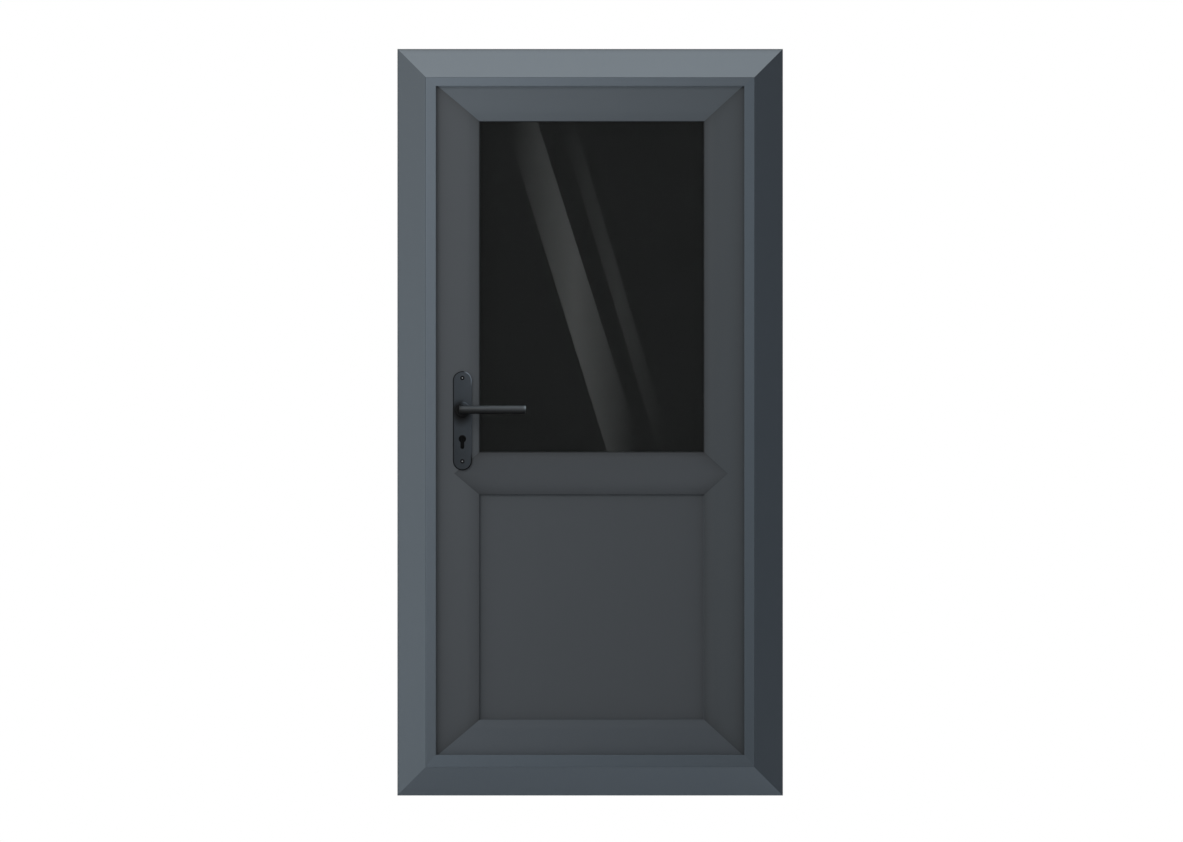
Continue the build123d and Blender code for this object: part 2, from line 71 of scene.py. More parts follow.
PIVOTS = {joint["name"]: joint["pos_m"] for joint in frame["record"]["behaviour"]["joints"]}
SPINDLE_X, _, SPINDLE_Z = PIVOTS["lever_turn"]
LEVER_LOW, LEVER_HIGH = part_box("lever_outside")
LEVER_RADIUS = (LEVER_HIGH.z - LEVER_LOW.z) / 2
LEVER_TIP = LEVER_HIGH.x
PLATE_LOW, PLATE_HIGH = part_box("backplate_outside")
PLATE_Z = (PLATE_LOW.z + PLATE_HIGH.z) / 2
PLATE_HALF_WIDTH = (PLATE_HIGH.x - PLATE_LOW.x) / 2
PLATE_STRAIGHT_HALF = (PLATE_HIGH.z - PLATE_LOW.z) / 2 - PLATE_HALF_WIDTH
PLATE_SCREWS_Z = (PLATE_LOW.z + 0.0255, PLATE_HIGH.z - 0.0195)
CYLINDER_LOW, CYLINDER_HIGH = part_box("lock_cylinder")
CYLINDER_RADIUS = 0.0085
CYLINDER_Z = CYLINDER_HIGH.z - CYLINDER_RADIUS

HINGE_PLACES = ("bottom", "middle", "top")
HINGE_BOXES = [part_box("hinge_" + place + "_frame") for place in HINGE_PLACES]
HINGE_HEIGHTS = [(low.z + high.z) / 2 for low, high in HINGE_BOXES]
HINGE_HALF_HEIGHT = (HINGE_BOXES[0][1].z - HINGE_BOXES[0][0].z) / 2
HINGE_AXIS = PIVOTS["leaf_swing"][:2]
FIXING_Y = 0.018
FIXING_HEIGHTS = (0.192, 0.775, 1.375, 1.958)


def srgb(red, green, blue):
    """A colour as it is written for a screen, made linear."""
    def linear(value):
        part = value / 255
        return part / 12.92 if part <= 0.04045 else ((part + 0.055) / 1.055) ** 2.4

    return linear(red), linear(green), linear(blue)


# Shader nodes and shader maths

class Number:
    """One value in a shader, which takes part in plain arithmetic."""

    def __init__(self, shader, socket):
        self.shader = shader
        self.socket = socket

    def other(self, output):
        return Number(self.shader, self.socket.node.outputs[output])

    def calculate(self, operation, *values):
        return self.shader.node("ShaderNodeMath", {"operation": operation}, dict(enumerate(values)))

    def __add__(self, other):
        return self.calculate("ADD", self, other)

    def __radd__(self, other):
        return self.calculate("ADD", other, self)

    def __sub__(self, other):
        return self.calculate("SUBTRACT", self, other)

    def __rsub__(self, other):
        return self.calculate("SUBTRACT", other, self)

    def __mul__(self, other):
        return self.calculate("MULTIPLY", self, other)

    def __rmul__(self, other):
        return self.calculate("MULTIPLY", other, self)

    def __truediv__(self, other):
        return self.calculate("DIVIDE", self, other)

    def __abs__(self):
        return self.calculate("ABSOLUTE", self)

    def lower(self, other):
        return self.calculate("MINIMUM", self, other)

    def higher(self, other):
        return self.calculate("MAXIMUM", self, other)

    def away(self, other):
        """The straight distance to a point that lies this value and the other away along two axes."""
        return self.calculate("SQRT", self * self + other * other)

    def fade(self, reach):
        """1 at nought, falling off on both sides within about the reach."""
        return self.calculate("EXPONENT", abs(self) * (-1 / reach))

    def ramp(self, low, high, kind="SMOOTHSTEP"):
        """0 below low, 1 above high, with a soft or a straight rise between."""
        settings = {"interpolation_type": kind, "clamp": True}
        return self.shader.node("ShaderNodeMapRange", settings, {"Value": self, 1: low, 2: high})


class Shader:
    """A node tree, filled through one method."""

    def __init__(self, tree):
        self.tree = tree
        self.tree.nodes.clear()

    def node(self, kind, settings=None, inputs=None, output=0):
        made = self.tree.nodes.new(kind)
        for name, value in (settings or {}).items():
            setattr(made, name, value)
        for name, value in (inputs or {}).items():
            if isinstance(value, Number):
                self.tree.links.new(value.socket, made.inputs[name])
            elif isinstance(value, tuple) and len(made.inputs[name].default_value) == 4:
                made.inputs[name].default_value = (*value, 1.0)
            else:
                made.inputs[name].default_value = value
        return Number(self, made.outputs[output]) if made.outputs else None

    def tint(self, colour, strength):
        """A colour made lighter or darker by a value."""
        return self.node("ShaderNodeVectorMath", {"operation": "SCALE"}, {0: colour, "Scale": strength})


class Finish(Shader):
    """A material, with places on the piece in its own coordinates."""

    def __init__(self, name):
        self.material = bpy.data.materials.new(name)
        self.material.use_nodes = True
        super().__init__(self.material.node_tree)
        self.place = self.node("ShaderNodeTexCoord", output="Object")
        self.x = self.node("ShaderNodeSeparateXYZ", inputs={0: self.place})
        self.y = self.x.other(1)
        self.z = self.x.other(2)

    def noise(self, scale, detail=2.0, stretch=(1.0, 1.0, 1.0)):
        """Noise from 0 to 1 with scale waves in a metre, drawn out along an axis by stretch."""
        at = self.node("ShaderNodeMapping", None, {"Vector": self.place, "Scale": stretch})
        return self.node("ShaderNodeTexNoise", None, {"Vector": at, "Scale": scale, "Detail": detail})

    def bump(self, height, depth, strength=0.5):
        return self.node("ShaderNodeBump", None, {"Height": height, "Distance": depth, "Strength": strength})

    def surface(self, inputs):
        return self.done(self.node("ShaderNodeBsdfPrincipled", None, inputs))

    def done(self, shader):
        self.node("ShaderNodeOutputMaterial", None, {"Surface": shader})
        return self.material


# Lines on the door, each as the distance of a point past it

def upright(x):
    return lambda finish: finish.x - x


def level(z):
    return lambda finish: finish.z - z


def mitre(x, z, slope):
    return lambda finish: (finish.z - z - slope * (finish.x - x)) / math.hypot(1, slope)


def arrow(tip_x, slope, direction):
    """An arrowhead's two edges, which open from its tip to the right (1) or to the left (-1)."""
    middle = (GLASS.bottom + PANEL.top) / 2
    return lambda finish: (
        abs(finish.z - middle) - slope * direction * (finish.x - tip_x)) / math.hypot(1, slope)


RAIL_HALF = (GLASS.bottom - PANEL.top) / 2
LEAF_JOINTS = {
    "lock_arrow": arrow(DAYLIGHT.left - RAIL_HALF / SLOPE_LOCK, SLOPE_LOCK, 1),
    "hinge_arrow": arrow(DAYLIGHT.right + RAIL_HALF / SLOPE_HINGE, SLOPE_HINGE, -1),
    "sill_lock": mitre(DAYLIGHT.left, DAYLIGHT.bottom, SLOPE_LOCK),
    "head_lock": mitre(DAYLIGHT.left, DAYLIGHT.top, -SLOPE_LOCK),
    "sill_hinge": mitre(DAYLIGHT.right, DAYLIGHT.bottom, -SLOPE_HINGE),
    "head_hinge": mitre(DAYLIGHT.right, DAYLIGHT.top, SLOPE_HINGE),
}
TRIM_JOINTS = {
    "sill_lock": mitre(TRIM_OUTER.left, TRIM_OUTER.bottom, 1.0),
    "head_lock": mitre(TRIM_OUTER.left, TRIM_OUTER.top, -1.0),
    "sill_hinge": mitre(TRIM_OUTER.right, TRIM_OUTER.bottom, -1.0),
    "head_hinge": mitre(TRIM_OUTER.right, TRIM_OUTER.top, 1.0),
}


# Foil on the trim, the frame and the leaf

# A line of painted shade, or of painted light where its depth is below nought, that fades out over its reach
PaintedShade = namedtuple("PaintedShade", "line depth reach")


def foil(name, colour, seams=(), edges=(), lean=(0.0, 0.0)):
    """Embossed satin foil with fine welded seams, painted shade along its edges, and painted light where an
    edge's depth is below nought.

    The painted light gradient is how much lighter painted light makes the foil in a metre to the right and in
    a metre up.
    """
    finish = Finish(name)
    pebbles = finish.noise(1400, detail=3)
    mottle = finish.noise(3.0)
    grain = finish.noise(90, stretch=(1.0, 1.0, 0.08))
    strength = 0.965 + 0.03 * mottle + 0.02 * grain + 0.02 * pebbles
    # Painted light: the foil lighter or darker towards the right and up, as the light falls off
    strength = strength * (1.0 + lean[0] * finish.x + lean[1] * (finish.z - 1.0))
    height = pebbles
    for seam in seams:
        beside = abs(seam(finish)).ramp(0.0002, 0.0011)
        strength = strength * (0.80 + 0.20 * beside)
        height = height * 0.5 + beside
    # Painted shade along each edge, or painted light where its depth is below nought
    for edge in edges:
        strength = strength * (1.0 - edge.depth * edge.line(finish).fade(edge.reach))
    return finish.surface({
        "Base Color": finish.tint(colour, strength),
        "Roughness": 0.42 + 0.10 * pebbles,
        "Specular IOR Level": 0.3,
        "Normal": finish.bump(height, 0.00008),
    })


def dress(node, material):
    """Puts a material on a node of the frame."""
    mesh = frame["nodes"][node].data
    mesh.materials.clear()
    mesh.materials.append(material)


# How each member of the trim, the frame's strip and the leaf is coloured: one foil, painted lighter or darker
# per member for how the light falls on it, with its seams, painted edge shade and light, and painted light
# gradient
Member = namedtuple("Member", "colour seams edges lean", defaults=[(), (), (0.0, 0.0)])
# Painted light and shade on the trim: the head lightest, the lock side and the sill in between, the hinge
# side darkest
TRIM = {
    "head": Member(srgb(126, 135, 142), ("head_lock", "head_hinge"), [
        PaintedShade(level(TRIM_OUTER.top), 0.7, 0.003),
    ], lean=(0.14, 0.0)),
    "jamb_lock": Member(srgb(90, 99, 106), ("sill_lock", "head_lock"), [
        PaintedShade(upright(TRIM_OUTER.left), 0.55, 0.002),
        PaintedShade(upright(TRIM_INNER.left), -0.25, 0.0014),
    ], lean=(0.0, -0.19)),
    "jamb_hinge": Member(srgb(65, 72, 79), ("sill_hinge", "head_hinge"), lean=(0.0, -0.09)),
    "sill": Member(srgb(94, 103, 111), ("sill_lock", "sill_hinge"), lean=(0.11, 0.0)),
}
# Painted light and shade on the strip: the hinge side darker than the rest
STRIP = {
    "head": Member(srgb(93, 102, 110), lean=(-0.42, 0.0)),
    "jamb_lock": Member(srgb(93, 102, 110), edges=[
        PaintedShade(upright(TRIM_INNER.left), -0.25, 0.0014),
    ], lean=(0.0, 0.15)),
    "jamb_hinge": Member(srgb(78, 87, 95), lean=(0.0, 0.10)),
    "sill": Member(srgb(84, 93, 101), lean=(-0.32, 0.0)),
}
# Painted light and shade on the leaf: each member's tone set for how the light falls on it
LEAF = {
    "leaf_stile_lock": Member(srgb(73, 77, 81), ("sill_lock", "head_lock", "lock_arrow"), [
        PaintedShade(upright(STOP.left), 0.30, 0.018),
        PaintedShade(upright(STOP.left), -0.75, 0.0026),
        PaintedShade(upright(DAYLIGHT.left), 0.26, 0.013),
        PaintedShade(LEAF_JOINTS["head_lock"], 0.28, 0.014),
        PaintedShade(LEAF_JOINTS["sill_lock"], 0.30, 0.018),
    ]),
    "leaf_stile_hinge": Member(srgb(69, 74, 78), ("sill_hinge", "head_hinge", "hinge_arrow"), [
        PaintedShade(upright(STOP.right), 0.38, 0.020),
        PaintedShade(upright(DAYLIGHT.right), 0.36, 0.021),
        PaintedShade(LEAF_JOINTS["head_hinge"], 0.28, 0.014),
        PaintedShade(LEAF_JOINTS["sill_hinge"], 0.30, 0.018),
    ]),
    "leaf_rail_top": Member(srgb(80, 87, 93), ("head_lock", "head_hinge"), [
        PaintedShade(level(STOP.top), -1.3, 0.0035),
    ], lean=(-0.29, 0.0)),
    "leaf_rail_middle": Member(srgb(67, 71, 75), ("lock_arrow", "hinge_arrow"), [
        PaintedShade(level(GLASS.bottom), 0.48, 0.0145),
        PaintedShade(level(PANEL.top), 0.28, 0.013),
        PaintedShade(LEAF_JOINTS["lock_arrow"], 0.30, 0.020),
        PaintedShade(LEAF_JOINTS["hinge_arrow"], 0.28, 0.020),
    ], lean=(0.17, 0.0)),
    "leaf_rail_bottom": Member(srgb(79, 85, 91), ("sill_lock", "sill_hinge"), [
        PaintedShade(level(DAYLIGHT.bottom), 0.17, 0.030),
        PaintedShade(level(STOP.bottom), 0.16, 0.020),
    ], lean=(-0.25, 0.0)),
    "lower_panel": Member(srgb(68, 72, 76), edges=[
        PaintedShade(upright(PANEL.left), 0.30, 0.015),
        PaintedShade(upright(PANEL.right), 0.28, 0.017),
        PaintedShade(level(PANEL.top), 0.08, 0.020),
        PaintedShade(level(PANEL.bottom), 0.15, 0.020),
    ], lean=(-0.12, -0.10)),
}
LEAF_GREY = srgb(74, 79, 83)
for joints, members in ((TRIM_JOINTS, {"trim_" + name: member for name, member in TRIM.items()}),
                        (TRIM_JOINTS, {"frame_" + name: member for name, member in STRIP.items()}),
                        (LEAF_JOINTS, LEAF)):
    for node, member in members.items():
        dress(node, foil(node + "_foil", member.colour, [joints[seam] for seam in member.seams],
                         member.edges, member.lean))
BEAD_FOIL = foil("bead_foil", LEAF_GREY)
for infill in ("glass", "panel"):
    for side in Outline._fields:
        dress(infill + "_bead_" + side, BEAD_FOIL)


# Glass, rubber and metal

def clear_pane():
    finish = Finish("clear_pane")
    smear = finish.noise(5.0, detail=3)
    return finish.surface({
        "Base Color": finish.tint((0.90, 0.93, 0.92), 0.97 + 0.03 * smear),
        "Roughness": 0.003 * smear,
        "IOR": 1.45,
        "Transmission Weight": 1.0,
    })


# An opaque dark inner pane: its colour is painted shade, standing in for the dim room seen through the glass
def dark_pane():
    finish = Finish("dark_pane")
    cloud = finish.noise(2.5)
    return finish.surface({
        "Base Color": finish.tint(srgb(27, 28, 28), 0.95 + 0.1 * cloud),
        "Roughness": 0.004 + 0.004 * cloud,
        "IOR": 1.45,
    })


def rubber(name, colour):
    finish = Finish(name)
    grit = finish.noise(2500)
    return finish.surface({
        "Base Color": finish.tint(colour, 0.85 + 0.3 * grit),
        "Roughness": 0.65 + 0.15 * grit,
        "Specular IOR Level": 0.15,
        "Normal": finish.bump(grit, 0.0001),
    })


def spacer_bar():
    """Black anodised bar, drawn along its length."""
    finish = Finish("spacer_bar")
    drawn = finish.noise(700, stretch=(0.05, 1.0, 0.05))
    return finish.surface({
        "Base Color": finish.tint(srgb(60, 61, 63), 0.8 + 0.4 * drawn),
        "Roughness": 0.35 + 0.15 * drawn,
        "Metallic": 1.0,
    })


def coat(name, colour, rough=0.38, shine=0.4, shade=None):
    """Fine structured powder coat on a handle, a hinge or a plug, with painted light and shade where a shade
    is given.
    """
    finish = Finish(name)
    powder = finish.noise(3200)
    cloud = finish.noise(30)
    strength = 0.94 + 0.06 * powder + 0.06 * cloud
    if shade is not None:
        strength = strength * shade(finish)
    return finish.surface({
        "Base Color": finish.tint(colour, strength),
        "Roughness": rough + 0.1 * powder,
        "Specular IOR Level": shine,
        "Normal": finish.bump(powder, 0.00004),
    })


# Painted shade, black round the keyhole and round the plate's screws, where the holes lie in shadow
KEYHOLE_SHADE_Z = CYLINDER_Z + 0.0012
KEYHOLE_SHADE_RADIUS = 0.0109
SCREW_SHADE_RADIUS = 0.006


def plate_rim(across, up):
    """Where the rim is, and its painted shade: black, but plain low on the right, with a painted highlight at
    the upper right.
    """
    beyond = (abs(up) - PLATE_STRAIGHT_HALF).higher(0.0)
    rim = across.away(beyond).ramp(PLATE_HALF_WIDTH - 0.0030, PLATE_HALF_WIDTH - 0.0020)
    rim_highlight = across.ramp(0.002, 0.014) * up.ramp(PLATE_STRAIGHT_HALF - 0.03, PLATE_STRAIGHT_HALF + 0.004)
    plain = across.ramp(0.022, 0.024) * up.ramp(-0.11, -0.09)
    return rim, (0.05 + 1.75 * plain).higher(rim_highlight * 5.0)


def neck_shadow(across, rise):
    """Painted shadow: 0 at the lever's neck and just below it, 1 farther away and at its upper right."""
    sunk = rise + 0.003
    dusk = (across + 0.004).away(sunk.higher(sunk * 0.72)).ramp(0.014, 0.039)
    clear = across.ramp(-0.008, 0.006) * rise.ramp(0.004, 0.010)
    return dusk.higher(clear)


def neck_glint(across, rise):
    """A painted highlight: a thin arc of light round the upper right of the neck."""
    from_neck = across.away(rise)
    arc = from_neck.ramp(0.0194, 0.0204) * (1.0 - from_neck.ramp(0.0224, 0.0234))
    return arc * across.ramp(-0.002, 0.008) * rise.ramp(0.004, 0.014)


def plate_shade(finish):
    """Painted light and shade: lighter up and to the right, dark round the neck, and black in the keyhole and
    round the screws.
    """
    across = finish.x - SPINDLE_X
    up = finish.z - PLATE_Z
    rise = finish.z - SPINDLE_Z
    body = (1.0 + 1.7 * up + 4.5 * across) * (0.04 + 0.96 * neck_shadow(across, rise))
    from_keyhole = across.away(finish.z - KEYHOLE_SHADE_Z)
    body = body * from_keyhole.ramp(KEYHOLE_SHADE_RADIUS - 0.0003, KEYHOLE_SHADE_RADIUS + 0.0003)
    for height in PLATE_SCREWS_Z:
        from_screw = across.away(finish.z - height)
        body = body * from_screw.ramp(SCREW_SHADE_RADIUS - 0.0004, SCREW_SHADE_RADIUS + 0.0004)
    rim, rim_shade = plate_rim(across, up)
    return body * (1.0 - rim) + body * rim * rim_shade + 1.5 * neck_glint(across, rise)


def lever_shade(finish):
    """Painted light and shade: a light line along the top, near black underneath and at the heel, with a
    bright painted highlight at the corner of the tip.
    """
    rise = finish.z - SPINDLE_Z
    round_way = rise / LEVER_RADIUS
    side = 0.035 + 0.55 * round_way.ramp(-0.62, 0.38) + 0.66 * round_way.ramp(0.28, 0.66)
    side = side * (1.0 - 0.8 * round_way.ramp(0.90, 1.0))
    side = side * (0.98 + 2.3 * (finish.x + 0.307))
    heel = 0.10 + 0.90 * (finish.x - SPINDLE_X).ramp(-0.013, 0.004)
    tip = (finish.x - LEVER_TIP + 0.0014).fade(0.0020) * rise.ramp(-0.001, 0.006)
    return side * heel + 7.0 * tip


def brushed_steel(name, colour, along, metallic=1.0):
    """Steel brushed along one axis, with a few faint rub marks."""
    finish = Finish(name)
    stretch = tuple(0.02 if axis == along else 1.0 for axis in "XYZ")
    lines = finish.noise(2400, detail=3, stretch=stretch)
    rub = finish.noise(45, detail=3)
    return finish.surface({
        "Base Color": finish.tint(colour, 0.82 + 0.25 * lines),
        "Roughness": 0.24 + 0.14 * lines + 0.08 * rub,
        "Metallic": metallic,
        "Normal": finish.bump(lines, 0.00003),
    })


# The plate's and the lever's coats carry painted light and shade
PLATE_COAT = coat("plate_coat", srgb(52, 57, 62), shine=0.15, shade=plate_shade)
LEVER_COAT = coat("lever_coat", srgb(62, 67, 71), 0.32, 0.3, lever_shade)
HINGE_COAT = coat("hinge_coat", srgb(58, 63, 69))
CYLINDER_BLACK = coat("cylinder_black", srgb(7, 8, 9), 0.5, 0.05)
# Black for pieces that stand in for shade: the screws' seats, the keyhole's liner and the collar rings
SHADE_BLACK = coat("shade_black", srgb(9, 9, 10), 0.7, 0.05)
CAP_PLASTIC = coat("cap_plastic", srgb(52, 56, 60), 0.45)
PLATE_STEEL = brushed_steel("plate_steel", srgb(178, 179, 181), "Z")
BOLT_STEEL = brushed_steel("bolt_steel", srgb(186, 187, 188), "X")
SCREW_STEEL = brushed_steel("screw_steel", srgb(150, 152, 155), "X")
ZINC = brushed_steel("zinc", srgb(172, 176, 180), "X", 0.25)
BLACK_RUBBER = rubber("black_rubber", srgb(24, 25, 26))
DARK_RUBBER = rubber("dark_rubber", srgb(36, 37, 38))
GREY_RUBBER = rubber("grey_rubber", srgb(72, 76, 80))

dress("frame_seal", BLACK_RUBBER)
dress("leaf_seal", BLACK_RUBBER)
dress("glass_gasket", DARK_RUBBER)
dress("panel_gasket", GREY_RUBBER)
dress("glass_spacer", spacer_bar())
dress("glass_pane_outside", clear_pane())
dress("glass_pane_inside", dark_pane())
for side in ("outside", "inside"):
    dress("backplate_" + side, PLATE_COAT)
    dress("lever_" + side, LEVER_COAT)
dress("lock_cylinder", CYLINDER_BLACK)
dress("lock_faceplate", PLATE_STEEL)
dress("strike_plate", PLATE_STEEL)
dress("lock_bolts", BOLT_STEEL)
dress("spindle", BOLT_STEEL)
for place in HINGE_PLACES:
    dress("hinge_" + place + "_frame", HINGE_COAT)
    dress("hinge_" + place + "_leaf", HINGE_COAT)


# Small fittings

def smooth(mesh, limit=35):
    """Rounds the shading except over edges sharper than limit degrees."""
    for face in mesh.faces:
        face.smooth = True
    for edge in mesh.edges:
        if len(edge.link_faces) == 2 and edge.calc_face_angle(0.0) > math.radians(limit):
            edge.smooth = False


def turned(profile, steps=32):
    """A piece turned on a lathe about Z from a profile of radius and height pairs."""
    mesh = bmesh.new()
    points = [mesh.verts.new((radius, 0.0, height)) for radius, height in profile]
    edges = [mesh.edges.new(pair) for pair in zip(points, points[1:])]
    bmesh.ops.spin(mesh, geom=points + edges, cent=(0, 0, 0), axis=(0, 0, 1), angle=math.tau, steps=steps,
                   use_merge=True, use_duplicate=False)
    bmesh.ops.remove_doubles(mesh, verts=mesh.verts, dist=0.000001)
    return mesh


def facing(direction, place, turn=0.0):
    """Turns +Z to a direction and moves the origin to a place."""
    aim = Vector(direction).to_track_quat("Z", "Y").to_matrix().to_4x4()
    return Matrix.Translation(place) @ aim @ Matrix.Rotation(turn, 4, "Z")


def fit(name, part, placings, body, materials, limit=35):
    """One piece with a copy of the part at each placing, which rides on a body of the door.

    The part is used up, and edges sharper than the limit in degrees stay sharp.
    """
    whole = bmesh.new()
    data = bpy.data.meshes.new(name)
    for placing in placings:
        part.to_mesh(data)
        data.transform(placing)
        whole.from_mesh(data)
    part.free()
    bmesh.ops.recalc_face_normals(whole, faces=whole.faces)
    smooth(whole, limit)
    whole.to_mesh(data)
    whole.free()
    for material in materials:
        data.materials.append(material)
    piece = bpy.data.objects.new(name, data)
    bpy.context.scene.collection.objects.link(piece)
    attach(piece, body)


def screw_head(radius, rise, socket):
    """A countersunk head with a shallow crown and a six-lobed socket."""
    depth = socket * 0.9
    mesh = turned([
        (0.0, rise - depth), (socket * 0.86, rise - depth), (socket, rise - 0.00008), (socket * 1.12, rise),
        (radius * 0.62, rise * 0.9), (radius * 0.86, rise * 0.55), (radius * 0.97, rise * 0.2), (radius, 0.0),
        (radius * 0.9, -0.0004),
    ], 36)
    for vert in mesh.verts:
        flat = Vector((vert.co.x, vert.co.y))
        if 0.0 < flat.length <= socket * 1.05:
            lobes = 1.0 + 0.13 * math.cos(6 * math.atan2(flat.y, flat.x))
            vert.co.x, vert.co.y = vert.co.x * lobes, vert.co.y * lobes
    return mesh


def washer(outer, inner, height):
    """A flat ring with its upper edges eased."""
    return turned([(inner, 0.0), (inner, height * 0.7), (inner * 1.1, height), (outer * 0.96, height),
                   (outer, height * 0.7), (outer, 0.0), (inner, 0.0)])


# Each plate lies on the leaf, and its collar stands farthest out
LEAF_FRONT_Y = PLATE_HIGH.y
COLLAR_FRONT_Y = PLATE_LOW.y
LEAF_BACK_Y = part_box("backplate_inside")[0].y
COLLAR_BACK_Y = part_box("backplate_inside")[1].y


def both_sides(x, heights, out, turn=0.0):
    """Places on both faces of the leaf, out metres proud of them."""
    places = []
    for height in heights:
        places.append(facing((0, -1, 0), (x, LEAF_FRONT_Y - out, height), turn))
        places.append(facing((0, 1, 0), (x, LEAF_BACK_Y + out, height), turn))
    return places


# How far the seats and the screws of a plate stand proud of the leaf; the black seats are painted shade in
# the screws' countersinks
SEAT_FLOOR = 0.003
PLATE_SCREW_FOOT = SEAT_FLOOR + 0.0026
PLATE_SCREW_RADIUS = 0.0019
fit("plate_screw_shade_seats", washer(0.0051, PLATE_SCREW_RADIUS, 0.0024),
    both_sides(SPINDLE_X, PLATE_SCREWS_Z, SEAT_FLOOR), "leaf", [SHADE_BLACK])
fit("plate_screws", screw_head(PLATE_SCREW_RADIUS, rise=0.0007, socket=0.0007),
    both_sides(SPINDLE_X, PLATE_SCREWS_Z, PLATE_SCREW_FOOT, turn=0.3), "leaf", [ZINC])


def keyhole_shade_liner():
    """A thin black liner round the lock cylinder, in the keyhole of each plate, as painted shade in the gap
    round the cylinder.
    """
    round_radius = 0.0098
    foot_radius = 0.00545
    drop = 0.0224
    overlap = 0.0004
    mesh = bmesh.new()
    bmesh.ops.create_circle(mesh, cap_ends=True, radius=round_radius, segments=40)
    leg = bmesh.ops.create_grid(mesh, x_segments=1, y_segments=1, size=0.5)["verts"]
    bmesh.ops.scale(mesh, vec=(2 * foot_radius, drop + overlap, 1.0), verts=leg)
    bmesh.ops.translate(mesh, vec=(0.0, (overlap - drop) / 2, 0.0), verts=leg)
    foot = bmesh.ops.create_circle(mesh, cap_ends=True, radius=foot_radius, segments=24)["verts"]
    bmesh.ops.translate(mesh, vec=(0.0, -drop, 0.0), verts=foot)
    bmesh.ops.solidify(mesh, geom=mesh.faces[:], thickness=0.0008)
    return mesh


fit("keyhole_shade_liners", keyhole_shade_liner(), both_sides(SPINDLE_X, [CYLINDER_Z], 0.001),
    "leaf", [SHADE_BLACK])


def key_plug():
    """The plug in the face of the lock cylinder, with its key slot cut in."""
    mesh = turned([(0.0, 0.0006), (0.0058, 0.0006), (0.0062, 0.0003), (0.0062, 0.0)], 40)
    half_width, half_height, sink = 0.00055, 0.0042, 0.0005
    for normal, place in (((1, 0, 0), half_width), ((1, 0, 0), -half_width),
                          ((0, 1, 0), half_height), ((0, 1, 0), -half_height)):
        bmesh.ops.bisect_plane(mesh, geom=mesh.verts[:] + mesh.edges[:] + mesh.faces[:],
                               plane_co=Vector(normal) * place, plane_no=normal, dist=0.0000001)
    slot = []
    for face in mesh.faces:
        middle = face.calc_center_median()
        if abs(middle.x) < half_width and abs(middle.y) < half_height:
            slot.append(face)
    sunk = bmesh.ops.extrude_face_region(mesh, geom=slot)["geom"]
    floor = [item for item in sunk if isinstance(item, bmesh.types.BMVert)]
    bmesh.ops.translate(mesh, vec=(0, 0, -sink), verts=floor)
    bmesh.ops.delete(mesh, geom=slot, context="FACES_ONLY")
    return mesh


fit("key_plugs", key_plug(), [
    facing((0, -1, 0), (SPINDLE_X, CYLINDER_LOW.y, CYLINDER_Z)),
    facing((0, 1, 0), (SPINDLE_X, CYLINDER_HIGH.y, CYLINDER_Z)),
], "leaf", [CYLINDER_BLACK])

# The face of each hinge wing, and its screws as their x and their rise from the middle of the hinge
FRAME_WING_Y = 0.0395
FRAME_WING_SCREWS = [(0.503, -0.038), (0.503, -0.013), (0.503, 0.013), (0.503, 0.038)]
LEAF_WING_Y = 0.057
LEAF_WING_SCREWS = [(0.441, -0.038), (0.456, -0.016), (0.456, 0.016), (0.441, 0.038)]


def hinge_places(screws, wing_y):
    """Places of a wing's screws at all the hinges, each turned a little differently."""
    return [facing((0, 1, 0), (x, wing_y, height + rise), rise * 90)
            for height in HINGE_HEIGHTS for x, rise in screws]


fit("hinge_screws_frame", screw_head(0.0042, rise=0.0006, socket=0.0017),
    hinge_places(FRAME_WING_SCREWS, FRAME_WING_Y), "frame", [SCREW_STEEL])
fit("hinge_screws_leaf", screw_head(0.0042, rise=0.0006, socket=0.0017),
    hinge_places(LEAF_WING_SCREWS, LEAF_WING_Y), "leaf", [SCREW_STEEL])

barrel_cap = turned([
    (0.0, 0.0022), (0.0030, 0.0021), (0.0058, 0.0016), (0.0078, 0.0007), (0.0083, 0.0), (0.0, 0.0),
], 36)
fit("hinge_caps", barrel_cap, [
    facing((0, 0, end), (*HINGE_AXIS, height + end * HINGE_HALF_HEIGHT))
    for height in HINGE_HEIGHTS for end in (-1, 1)
], "frame", [HINGE_COAT], limit=50)

FACEPLATE_LOW, FACEPLATE_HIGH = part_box("lock_faceplate")
STRIKE_LOW, STRIKE_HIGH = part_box("strike_plate")
EDGE_PLATE_Y = (FACEPLATE_LOW.y + FACEPLATE_HIGH.y) / 2
SCREW_FROM_END = 0.012
STRIKE_MIDDLE_SCREW = 0.086
FACEPLATE_SCREWS_Z = (FACEPLATE_LOW.z + SCREW_FROM_END, FACEPLATE_HIGH.z - SCREW_FROM_END)
STRIKE_SCREWS_Z = (STRIKE_LOW.z + SCREW_FROM_END, STRIKE_LOW.z + STRIKE_MIDDLE_SCREW,
                   STRIKE_HIGH.z - SCREW_FROM_END)
fit("faceplate_screws", screw_head(0.0040, rise=0.0005, socket=0.0016), [
    facing((-1, 0, 0), (FACEPLATE_LOW.x, EDGE_PLATE_Y, height)) for height in FACEPLATE_SCREWS_Z
], "leaf", [SCREW_STEEL])
fit("strike_screws", screw_head(0.0040, rise=0.0005, socket=0.0016), [
    facing((1, 0, 0), (STRIKE_HIGH.x, EDGE_PLATE_Y, height)) for height in STRIKE_SCREWS_Z
], "frame", [SCREW_STEEL])

